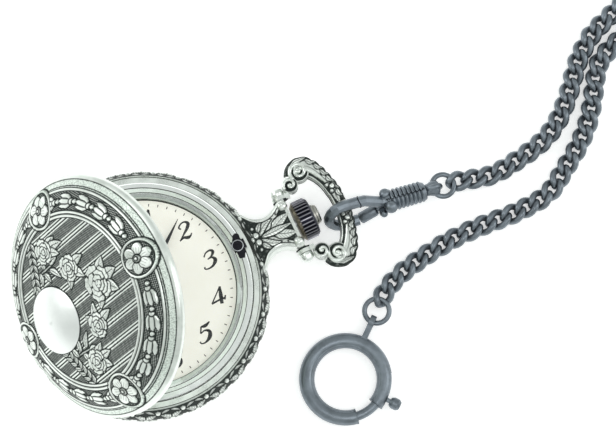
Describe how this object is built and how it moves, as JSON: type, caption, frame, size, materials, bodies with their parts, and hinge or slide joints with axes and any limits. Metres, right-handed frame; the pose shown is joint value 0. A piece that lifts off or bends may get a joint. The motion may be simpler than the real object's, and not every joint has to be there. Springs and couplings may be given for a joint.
{
  "type": "pocket watch",
  "caption": "Hunter-case pocket watch with an embossed hinged lid, crown with lid release button, stirrup bow, curb chain, swivel clasp and spring ring.",
  "frame": {"origin": "centre of the flat land on the case back", "axes": "+Z along the dial's normal out of the dial, +X to the pendant at 3 o'clock, +Y to 12 o'clock"},
  "size_m": [0.1883, 0.0879, 0.044],
  "materials": {
    "case_silver": "antiqued silver, dark in the recesses",
    "polished_silver": "polished",
    "dark_band": "matte black",
    "crystal": "clear",
    "blackened_steel": "blackened",
    "spring_steel": "satin",
    "dial_enamel": "matt cream",
    "hand_black": "gloss black",
    "movement_brass": "satin",
    "plate_brass": "striped satin",
    "ruby": "polished",
    "blued_steel": "blued",
    "crown_gunmetal": "dark plated",
    "button_metal": "worn nickel",
    "chain_gunmetal": "antiqued gunmetal"
  },
  "bodies": {
    "case": {"case_middle": "case_silver", "pendant": "case_silver", "pendant_sleeve": "spring_steel", "back_cover": "case_silver", "bezel": "polished_silver", "rehaut_ring": "dark_band", "crystal": "crystal", "lid_hinge_pin": "spring_steel", "lift_spring": "spring_steel", "catch_screw": "blackened_steel", "dial": "dial_enamel", "main_plate": "plate_brass", "barrel_bridge": "plate_brass", "train_bridge": "plate_brass", "balance_cock": "plate_brass", "pallet_cock": "plate_brass", "jewels": "ruby", "bridge_screws": "blued_steel", "case_screws": "spring_steel", "hairspring": "blued_steel", "bow_screws": "case_silver"},
    "lid": {"front_lid": "case_silver", "lid_boss": "polished_silver"},
    "catch": {"lid_catch": "blackened_steel"},
    "crown": {"crown": "crown_gunmetal", "stem": "spring_steel", "winding_pinion": "spring_steel", "button_spring": "spring_steel"},
    "button": {"crown_button": "button_metal"},
    "crown_wheel": {"crown_wheel": "spring_steel"},
    "ratchet": {"ratchet_wheel": "spring_steel", "barrel_arbor": "spring_steel"},
    "click": {"click": "spring_steel"},
    "minute_hand": {"minute_hand": "hand_black", "cannon_pinion": "spring_steel"},
    "hour_hand": {"hour_hand": "hand_black", "hour_wheel": "movement_brass"},
    "minute_wheel": {"minute_wheel": "movement_brass"},
    "barrel": {"mainspring_barrel": "movement_brass", "mainspring": "spring_steel"},
    "centre_wheel": {"centre_wheel": "movement_brass"},
    "third_wheel": {"third_wheel": "movement_brass"},
    "fourth_wheel": {"fourth_wheel": "movement_brass"},
    "escape_wheel": {"escape_wheel": "spring_steel"},
    "pallet_fork": {"pallet_fork": "spring_steel"},
    "balance": {"balance_wheel": "movement_brass"},
    "bow": {"bow": "case_silver"},
    "chain": {"clasp_hook": "chain_gunmetal", "clasp_barrel": "chain_gunmetal", "gate_pin": "chain_gunmetal", "chain": "chain_gunmetal", "jump_ring": "chain_gunmetal"},
    "gate": {"clasp_gate": "chain_gunmetal"},
    "swivel": {"clasp_swivel": "chain_gunmetal", "swivel_link": "chain_gunmetal"},
    "ring": {"ring_body": "chain_gunmetal", "ring_tab": "chain_gunmetal", "ring_spring": "spring_steel"},
    "ring_bolt": {"ring_bolt": "chain_gunmetal"}
  },
  "joints": [
    {"name": "lid_hinge", "type": "hinge", "parent": "case", "child": "lid", "pos_m": [-0.02345, 0, 0.0091], "axis": [0, -1, 0], "range_deg": [-47.6, 42.4]},
    {"name": "crown_turn", "type": "hinge", "parent": "case", "child": "crown", "pos_m": [0.03, 0, 0.00465], "axis": [1, 0, 0], "continuous": true},
    {"name": "button_push", "type": "slide", "parent": "crown", "child": "button", "axis": [-1, 0, 0], "range_m": [0, 0.0008], "stiffness_N_per_m": 400},
    {"name": "catch_slide", "type": "slide", "parent": "case", "child": "catch", "axis": [-1, 0, 0], "range_m": [0, 0.0008]},
    {"name": "crown_wheel_turn", "type": "hinge", "parent": "case", "child": "crown_wheel", "pos_m": [0.0096, -0.0022, 0.0025], "axis": [0, 0, 1], "continuous": true},
    {"name": "ratchet_turn", "type": "hinge", "parent": "case", "child": "ratchet", "pos_m": [0.0036, -0.0076, 0.0023], "axis": [0, 0, 1], "continuous": true},
    {"name": "click_pivot", "type": "hinge", "parent": "case", "child": "click", "pos_m": [-0.0018, -0.0119, 0.0023], "axis": [0, 0, 1], "range_deg": [0, 15], "stiffness_Nm_per_rad": 0.0002},
    {"name": "minute_hand_turn", "type": "hinge", "parent": "case", "child": "minute_hand", "pos_m": [0, 0, 0.0094], "axis": [0, 0, 1], "continuous": true},
    {"name": "hour_hand_turn", "type": "hinge", "parent": "case", "child": "hour_hand", "pos_m": [0, 0, 0.009], "axis": [0, 0, 1], "continuous": true},
    {"name": "minute_wheel_turn", "type": "hinge", "parent": "case", "child": "minute_wheel", "pos_m": [-0.0024, 0.0024, 0.0078], "axis": [0, 0, 1], "continuous": true},
    {"name": "fourth_wheel_turn", "type": "hinge", "parent": "case", "child": "fourth_wheel", "pos_m": [-0.0076, 0.0027, 0.0048], "axis": [0, 0, 1], "continuous": true},
    {"name": "third_wheel_turn", "type": "hinge", "parent": "case", "child": "third_wheel", "pos_m": [-0.0059, -0.0022, 0.0057], "axis": [0, 0, 1], "continuous": true},
    {"name": "centre_wheel_turn", "type": "hinge", "parent": "case", "child": "centre_wheel", "pos_m": [0, 0, 0.0064], "axis": [0, 0, 1], "continuous": true},
    {"name": "barrel_turn", "type": "hinge", "parent": "case", "child": "barrel", "pos_m": [0.0036, -0.0076, 0.0052], "axis": [0, 0, 1], "continuous": true},
    {"name": "escape_wheel_turn", "type": "hinge", "parent": "case", "child": "escape_wheel", "pos_m": [-0.0046, 0.0059, 0.0059], "axis": [0, 0, 1], "continuous": true},
    {"name": "pallet_rock", "type": "hinge", "parent": "case", "child": "pallet_fork", "pos_m": [-0.0015, 0.0076, 0.0059], "axis": [0, 0, 1], "range_deg": [-5, 5]},
    {"name": "balance_swing", "type": "hinge", "parent": "case", "child": "balance", "pos_m": [0.0029, 0.0089, 0.0045], "axis": [0, 0, 1], "range_deg": [-270, 270], "stiffness_Nm_per_rad": 0.0000012},
    {"name": "bow_hinge", "type": "hinge", "parent": "case", "child": "bow", "pos_m": [0.03175, 0, 0.00465], "axis": [0, 1, 0], "range_deg": [-75, 75]},
    {"name": "clasp_on_bow", "type": "hinge", "parent": "bow", "child": "chain", "pos_m": [0.04175, -0.0026, 0.0044], "axis": [0, 1, 0], "range_deg": [-75, 75]},
    {"name": "gate_pivot", "type": "hinge", "parent": "chain", "child": "gate", "pos_m": [0.04913, -0.00399, 0.00291], "axis": [0.0944, 0.9163, -0.3892], "range_deg": [0, 22], "stiffness_Nm_per_rad": 0.002},
    {"name": "swivel_turn", "type": "hinge", "parent": "chain", "child": "swivel", "pos_m": [0.05556, -0.00454, 0.00318], "axis": [0.9865, -0.1386, -0.0872], "continuous": true},
    {"name": "ring_swing", "type": "hinge", "parent": "chain", "child": "ring", "pos_m": [0.0394, -0.0219, 0.0015], "axis": [0, 0, 1], "range_deg": [-20, 20]},
    {"name": "ring_bolt_slide", "type": "hinge", "parent": "ring", "child": "ring_bolt", "pos_m": [0.0281, -0.0312, 0.0015], "axis": [0, 0, 1], "range_deg": [0, 24], "stiffness_Nm_per_rad": 0.003}
  ],
  "couplings": [
    {"joint": "catch_slide", "follows": "button_push", "ratio": 1},
    {"joint": "crown_wheel_turn", "follows": "crown_turn", "ratio": 0.4375},
    {"joint": "ratchet_turn", "follows": "crown_turn", "ratio": -0.38889},
    {"joint": "hour_hand_turn", "follows": "minute_hand_turn", "ratio": 0.083333},
    {"joint": "minute_wheel_turn", "follows": "minute_hand_turn", "ratio": -0.33333},
    {"joint": "third_wheel_turn", "follows": "fourth_wheel_turn", "ratio": -0.13333},
    {"joint": "centre_wheel_turn", "follows": "fourth_wheel_turn", "ratio": 0.016667},
    {"joint": "barrel_turn", "follows": "fourth_wheel_turn", "ratio": -0.0023148},
    {"joint": "escape_wheel_turn", "follows": "fourth_wheel_turn", "ratio": -10},
    {"joint": "clasp_on_bow", "follows": "bow_hinge", "ratio": -1}
  ]
}
